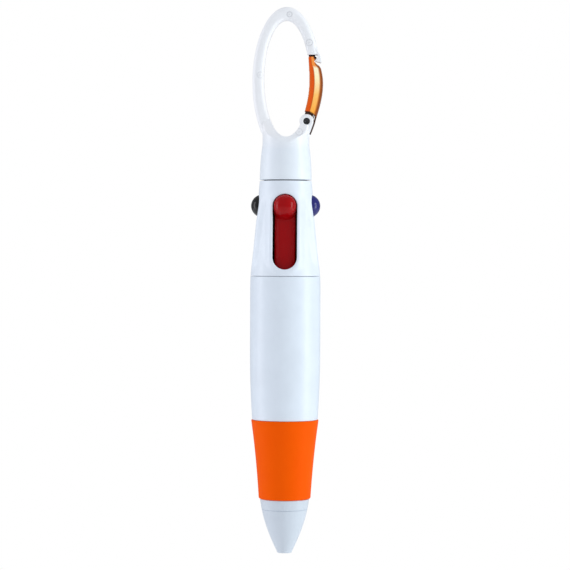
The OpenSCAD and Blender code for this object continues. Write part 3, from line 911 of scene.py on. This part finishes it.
def gate_pin():
    half = DEPTH / 2 - 0.05
    path = rounded([(0.0, -half + 0.12), (0.3, -half + 0.1, 0.05), (0.42, -half, 0.05), (PIN_R, -half, 0.12),
                    (PIN_R, half, 0.12), (0.42, half, 0.05), (0.3, half - 0.1, 0.05), (0.0, half - 0.12)],
                   closed=False)
    shape = Shape().add(np.concatenate(about_pin(path, 64)), grid_faces(len(path), 64))
    piece("gate_pin_bar", shape.mesh("gate_pin_bar"), "gate_pin", "upper", dark_steel.material)


def gate_spring():
    r, turns, pitch, wire = 1.2, 2, 0.32, 0.12
    end = pitch * turns / 2
    local = [(r, -1.5, -end), (r, -1.0, -end), (r, -0.5, -end)]
    local += [(r * math.cos(t), r * math.sin(t), pitch * t / (2 * math.pi) - end)
              for t in np.linspace(0, 2 * math.pi * turns, 24 * turns + 1)]
    local += [(r, s, end) for s in (0.6, 1.2, 1.8, 2.6, 3.4)]
    path = []
    for outwards, along, deep in local:
        p = PIN + outwards * OUTWARD + along * LEAN
        path.append((p[0], TORSION_Y - deep, p[1]))
    mesh = Shape().tube(path, wire).mesh("gate_spring_wire")
    obj = piece("gate_spring_wire", mesh, "gate_spring", "upper", steel.material, ride=False)
    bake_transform(obj)


# ---------------------------------------------------------------- sliders, springs, refills

SLIDER_LOW, SLIDER_HIGH = 65.5, 86.0
FACE_LOW_R, FACE_HIGH_R = 5.9, 4.83
STRIP_HALF = 4.95 / 2
STRIP_BACK = 3.6
KNOB_Z = 82.8
KNOB_R = 2.72
KNOB_BASE = 5.53
KNOB_REACH = span("slider_blue")[1][0]
SKIRT, SPREAD, SPREAD_TOP = 0.9, 1.1, 7.3
REST_Z, REST_R = 5.0, 1.295
REFILL_TOP_Z, REFILL_TOP_R = 71.0, 4.1
TILT = math.atan2(REFILL_TOP_R - REST_R, REFILL_TOP_Z - REST_Z)
REFILL_L = (REFILL_TOP_Z - REST_Z) / math.cos(TILT)
TUBE_R, TUBE_IN_R = 1.175, 0.9
NEEDLE_L, COLLAR_L, COLLAR_R, PLUG_L = 9.9, 1.65, 0.86, 2.3
BALL_R = 0.3
PLATE_LOW, PLATE_HIGH = bottom("spring_plate"), top("spring_plate")
PLATE_R, PLATE_HOLE_R, PLATE_HOLE_AT, PLATE_BORE_R = 6.0, 1.5, 3.07, 1.01


def along_refill(side):
    """Rotation and shift from a refill's own frame, with +Z up along it, to the pen's."""
    tilt = np.array([[math.cos(TILT), 0, math.sin(TILT)], [0, 1, 0], [-math.sin(TILT), 0, math.cos(TILT)]])
    return spun(side) @ tilt, spun(side) @ np.array([REST_R, 0, REST_Z])


def refill_height(z):
    return (z - REST_Z) / math.cos(TILT)


def face_r(z):
    return FACE_LOW_R + (FACE_HIGH_R - FACE_LOW_R) * (z - SLIDER_LOW) / (SLIDER_HIGH - SLIDER_LOW)


def strip_section(z, shrink):
    """The strip's section at a height: a curved face and a flat back with round edges."""
    r, half = face_r(z) - shrink, STRIP_HALF - shrink
    back = STRIP_BACK + shrink
    arc = [(math.sqrt(r * r - y * y), y) for y in np.linspace(half, -half, 13)]
    path = [(back, half, 0.15), (arc[0][0], half, 0.3)] + [(x, y) for x, y in arc[2:-2]]
    path += [(arc[-1][0], -half, 0.3), (back, -half, 0.15)]
    return rounded(path[::-1], 5, support=0.02)


def slider(name):
    """A colour's strip with its knob, a rib behind it and the socket for its refill."""
    side = COLOURS[name]
    spin = spun(side)
    shape = Shape()
    soft = 0.25
    levels = [(SLIDER_LOW + soft * (1 - math.cos(a)), soft * (1 - math.sin(a)))
              for a in np.linspace(0, math.pi / 2, 5)]
    levels += [(z, 0) for z in np.linspace(SLIDER_LOW + 1, SLIDER_HIGH - 1, 20)]
    levels += [(SLIDER_HIGH - soft * (1 - math.cos(a)), soft * (1 - math.sin(a)))
               for a in np.linspace(math.pi / 2, 0, 5)]
    rings = [[(x, y, z) for x, y in strip_section(z, shrink)] for z, shrink in levels]
    n = len(rings[0])
    shape.add(np.array(rings).reshape(-1, 3) @ spin.T, stack_faces(len(rings), n))
    dome = [(KNOB_R * math.cos(a), KNOB_BASE + (KNOB_REACH - KNOB_BASE) * math.sin(a))
            for a in np.linspace(0.1, math.pi / 2 * 0.985, 24)]
    skirt = [(KNOB_R, KNOB_BASE - depth) for depth in (SKIRT, 0.6, 0.3, 0)]
    knob = skirt + dome + [(0.0, KNOB_REACH)]
    spread = [SPREAD * max(0.0, (SPREAD_TOP - x) / (SPREAD_TOP - KNOB_BASE + SKIRT)) ** 2 for _, x in knob]
    m = 72
    a = np.linspace(0, 2 * math.pi, m, endpoint=False)
    below = np.clip(-np.sin(a), 0, 1) ** 1.5
    rings = []
    for (r, x), wide in zip(knob, spread):
        rr = r + wide * below
        rings.append(np.stack([np.full(m, x), rr * np.cos(a), KNOB_Z + rr * np.sin(a)], 1))
    rings.insert(0, np.stack([np.full(m, STRIP_BACK + 0.5), np.zeros(m), np.full(m, KNOB_Z)], 1))
    shape.add(np.concatenate(rings) @ spin.T, grid_faces(len(rings), m))
    rib = rounded([(2.05, 0.8, 0.15), (STRIP_BACK + 0.3, 0.8), (STRIP_BACK + 0.3, -0.8), (2.05, -0.8, 0.15)])
    m = len(rib)
    rings = np.array([[(x, y, z) for x, y in rib] for z in (72, 78, 85.5)]).reshape(-1, 3)
    shape.add(rings @ spin.T, stack_faces(3, m))
    low = refill_height(SLIDER_LOW) + 0.06
    inside, outside = TUBE_R + 0.02, 1.75
    socket = rounded([(inside, low), (outside, low, 0.12), (outside, low + 7, 0.12), (inside, low + 7)])
    first = len(shape.verts)
    shape.lathe(socket, 64, along_refill(side))
    for k in range(first, len(shape.verts)):
        x, y, z = shape.verts[k]
        shrink = min(1.0, (face_r(z) - 0.08) / math.hypot(x, y))
        shape.verts[k] = (x * shrink, y * shrink, z)
    label = "slider_" + name
    piece(label + "_body", shape.mesh(label + "_body"), label, label, knob_finish[name].material)


def slider_spring(name):
    r, wire, turns, close, out = 1.74, 0.175, 9, 0.5, 0.1
    low, high = refill_height(PLATE_HIGH + 0.28), refill_height(SLIDER_LOW - 0.28)
    pitch = (high - low - 2 * close) / (turns - 2)
    path = []
    for t in np.linspace(0, turns, turns * 36 + 1):
        rise = close * min(t, 1) + pitch * max(0, min(t - 1, turns - 2)) + close * max(0, t - turns + 1)
        path.append((out + r * math.cos(2 * math.pi * t), r * math.sin(2 * math.pi * t), low + rise))
    rotation, shift = along_refill(COLOURS[name])
    mesh = Shape().tube(np.array(path) @ rotation.T + shift, wire, 12).mesh("spring_" + name + "_wire")
    obj = piece("spring_" + name + "_wire", mesh, "spring_" + name, "upper", steel.material)
    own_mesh(obj)


def refill(name):
    """A colour's ink tube, metal point and writing ball."""
    place = along_refill(COLOURS[name])
    low = NEEDLE_L + COLLAR_L
    wall_path = [(TUBE_R, low)] + [(TUBE_R, z) for z in np.linspace(low + 0.2, REFILL_L - 0.2, 60)]
    wall_path += [(TUBE_R, REFILL_L, 0.1), (TUBE_IN_R, REFILL_L, 0.1)]
    wall_path += [(TUBE_IN_R, z) for z in np.linspace(REFILL_L - 0.3, low, 30)]
    tube = Shape().lathe(rounded(wall_path), 48, place)
    label = "refill_tube_" + name
    obj = piece(label + "_wall", tube.mesh(label + "_wall"), label, "slider_" + name,
                tube_finish[name].material, ride=False)
    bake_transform(obj)
    tip = rounded([(0.0, 0.3), (0.32, 0.4), (0.32, 0.02), (0.36, 0.0, 0.01), (0.5, 2.5, 0.5),
                   (0.5, NEEDLE_L - 0.9, 0.4), (COLLAR_R - 0.06, NEEDLE_L, 0.12),
                   (COLLAR_R, low - 0.01, 0.05), (0.85, low - 0.01), (0.85, low + PLUG_L, 0.2),
                   (0.0, low + PLUG_L)])
    label = "refill_tip_" + name
    piece(label + "_metal", Shape().lathe(tip, 64, place).mesh(label + "_metal"), label, "point_" + name,
          brass.material)
    ball = [(BALL_R * math.cos(a), 0.08 + BALL_R * math.sin(a))
            for a in np.linspace(-math.pi / 2, math.pi / 2, 25)]
    label = "writing_ball_" + name
    piece(label + "_steel", Shape().lathe(ball, 48, place).mesh(label + "_steel", weld=1e-5), label,
          "point_" + name, ball_steel.material)


def spring_plate():
    """The disc that the springs stand on, with a hole for each refill."""
    low, high = PLATE_LOW - 1, PLATE_HIGH + 1
    disc = capped_lathe(rounded([(0, PLATE_LOW), (PLATE_R, PLATE_LOW, 0.2), (PLATE_R, PLATE_HIGH, 0.2),
                                 (0, PLATE_HIGH)], closed=False), 120)
    places = [(spun(side) @ (PLATE_HOLE_AT, 0, 0), PLATE_HOLE_R) for side in COLOURS.values()]
    for centre, r in places + [((0, 0), PLATE_BORE_R)]:
        bar = capped_lathe([(0, low), (r, low), (r, high), (0, high)], 64)
        bar.transform(Matrix.Translation((centre[0] / 1e3, centre[1] / 1e3, 0)))
        disc = combine(disc, bar, "DIFFERENCE")
    piece("spring_plate_disc", disc, "spring_plate", "upper", white_inside.material)


nose_cone()
grip_sleeve()
lower_barrel()
upper_barrel()
carabiner_cap()
gate()
gate_pin()
gate_spring()
spring_plate()
for colour in COLOURS:
    slider(colour)
    slider_spring(colour)
    refill(colour)

# The core inside is made near-black as painted shade in the slots' gaps.
core = frame["nodes"]["guide_core"]
core.data.materials.clear()
core.data.materials.append(core_painted_shade.material)

# ---------------------------------------------------------------- light, floor and camera

scene = bpy.context.scene
scene.view_settings.view_transform = "Standard"
scene.view_settings.look = "None"


def floor():
    n = 128
    a = np.linspace(0, 2 * math.pi, n, endpoint=False)
    r, z = 1000.0, -150.0
    rings = [np.stack([q * np.cos(a), q * np.sin(a), np.full(n, h)], 1) for q, h in ((r, z), (r, z - 4))]
    faces = grid_faces(2, n) + [tuple(range(n)), tuple(range(n, 2 * n))[::-1]]
    mesh = Shape().add(np.concatenate(rings), faces).mesh("floor")
    obj = bpy.data.objects.new("floor", mesh)
    scene.collection.objects.link(obj)
    finish = Finish("floor_paper")
    finish.colour((0.90, 0.90, 0.91), (0.93, 0.93, 0.93), 8)
    finish.roughness(0.7, 0.85, 40)
    finish.bump(300, 0.01)
    mesh.materials.append(finish.material)


def sky():
    """A white backdrop for the camera, and a soft light that is dimmer behind the camera."""
    world = bpy.data.worlds.new("studio")
    scene.world = world
    world.use_nodes = True
    tree = world.node_tree
    tree.nodes.clear()
    out = tree.nodes.new("ShaderNodeOutputWorld")
    seen = tree.nodes.new("ShaderNodeBackground")
    seen.inputs["Color"].default_value = (1, 1, 1, 1)
    seen.inputs["Strength"].default_value = 1.0
    lit = tree.nodes.new("ShaderNodeBackground")
    path = tree.nodes.new("ShaderNodeLightPath")
    mix = tree.nodes.new("ShaderNodeMixShader")
    tree.links.new(path.outputs["Is Camera Ray"], mix.inputs["Fac"])
    tree.links.new(lit.outputs["Background"], mix.inputs[1])
    tree.links.new(seen.outputs["Background"], mix.inputs[2])
    tree.links.new(mix.outputs["Shader"], out.inputs["Surface"])
    where = tree.nodes.new("ShaderNodeTexCoord")
    total = None
    lobes = (((0, -1, 0.05), 3.0, (-0.50, -0.48, -0.45)),
             ((0, 1, 0.1), 1.0, (-0.3, -0.3, -0.3)), ((0, 0, 1), 2.0, (0.12, 0.12, 0.12)),
             ((0, 0, 1), 0.0, (0.68, 0.705, 0.74)))
    for direction, power, rgb in lobes:
        colour = tree.nodes.new("ShaderNodeRGB")
        colour.outputs[0].default_value = (*rgb, 1)
        if power:
            dot = tree.nodes.new("ShaderNodeVectorMath")
            dot.operation = "DOT_PRODUCT"
            dot.inputs[1].default_value = Vector(direction).normalized()
            tree.links.new(where.outputs["Generated"], dot.inputs[0])
            clip = tree.nodes.new("ShaderNodeMath")
            clip.operation = "MAXIMUM"
            clip.inputs[1].default_value = 0.0
            tree.links.new(dot.outputs["Value"], clip.inputs[0])
            sharpened = tree.nodes.new("ShaderNodeMath")
            sharpened.operation = "POWER"
            sharpened.inputs[1].default_value = power
            tree.links.new(clip.outputs[0], sharpened.inputs[0])
            scale = tree.nodes.new("ShaderNodeVectorMath")
            scale.operation = "SCALE"
            tree.links.new(colour.outputs[0], scale.inputs[0])
            tree.links.new(sharpened.outputs[0], scale.inputs["Scale"])
            part = scale.outputs[0]
        else:
            part = colour.outputs[0]
        if total is None:
            total = part
        else:
            add = tree.nodes.new("ShaderNodeVectorMath")
            add.operation = "ADD"
            tree.links.new(total, add.inputs[0])
            tree.links.new(part, add.inputs[1])
            total = add.outputs[0]
    tree.links.new(total, lit.inputs["Color"])
    dim = tree.nodes.new("ShaderNodeMapRange")
    dim.inputs["To Min"].default_value = 1.0
    dim.inputs["To Max"].default_value = 0.4
    tree.links.new(path.outputs["Is Glossy Ray"], dim.inputs["Value"])
    tree.links.new(dim.outputs["Result"], lit.inputs["Strength"])


def lamp(name, place, aim, size, power, rgb):
    data = bpy.data.lights.new(name, "AREA")
    data.shape = "RECTANGLE"
    data.size, data.size_y = size
    data.energy = power
    data.color = rgb
    obj = bpy.data.objects.new(name, data)
    obj.location = place
    obj.rotation_mode = "QUATERNION"
    obj.rotation_quaternion = (Vector(aim) - Vector(place)).to_track_quat("-Z", "Y")
    scene.collection.objects.link(obj)


def camera():
    data = bpy.data.cameras.new("camera")
    data.sensor_width = 36.0
    data.lens = 153.5
    data.clip_start, data.clip_end = 0.01, 20.0
    obj = bpy.data.objects.new("camera", data)
    turn, far, drop = math.radians(1.6), 580.0, 9.05
    obj.location = in_frame((-0.12 + far * math.sin(turn), -far * math.cos(turn), 73.0))
    obj.rotation_mode = "XYZ"
    obj.rotation_euler = (math.pi / 2 - math.atan2(drop, far), math.radians(-0.21), turn)
    scene.collection.objects.link(obj)
    scene.camera = obj


floor()
sky()
lamp("key", (0.6, -0.14, 0.0), (0, 0, -0.06), (0.2, 0.5), 1.5, (0.93, 1.0, 1.0))
lamp("fill", (-0.6, -0.02, 0.0), (0, 0, -0.06), (0.18, 0.5), 0.8, (0.97, 0.95, 1.0))
camera()
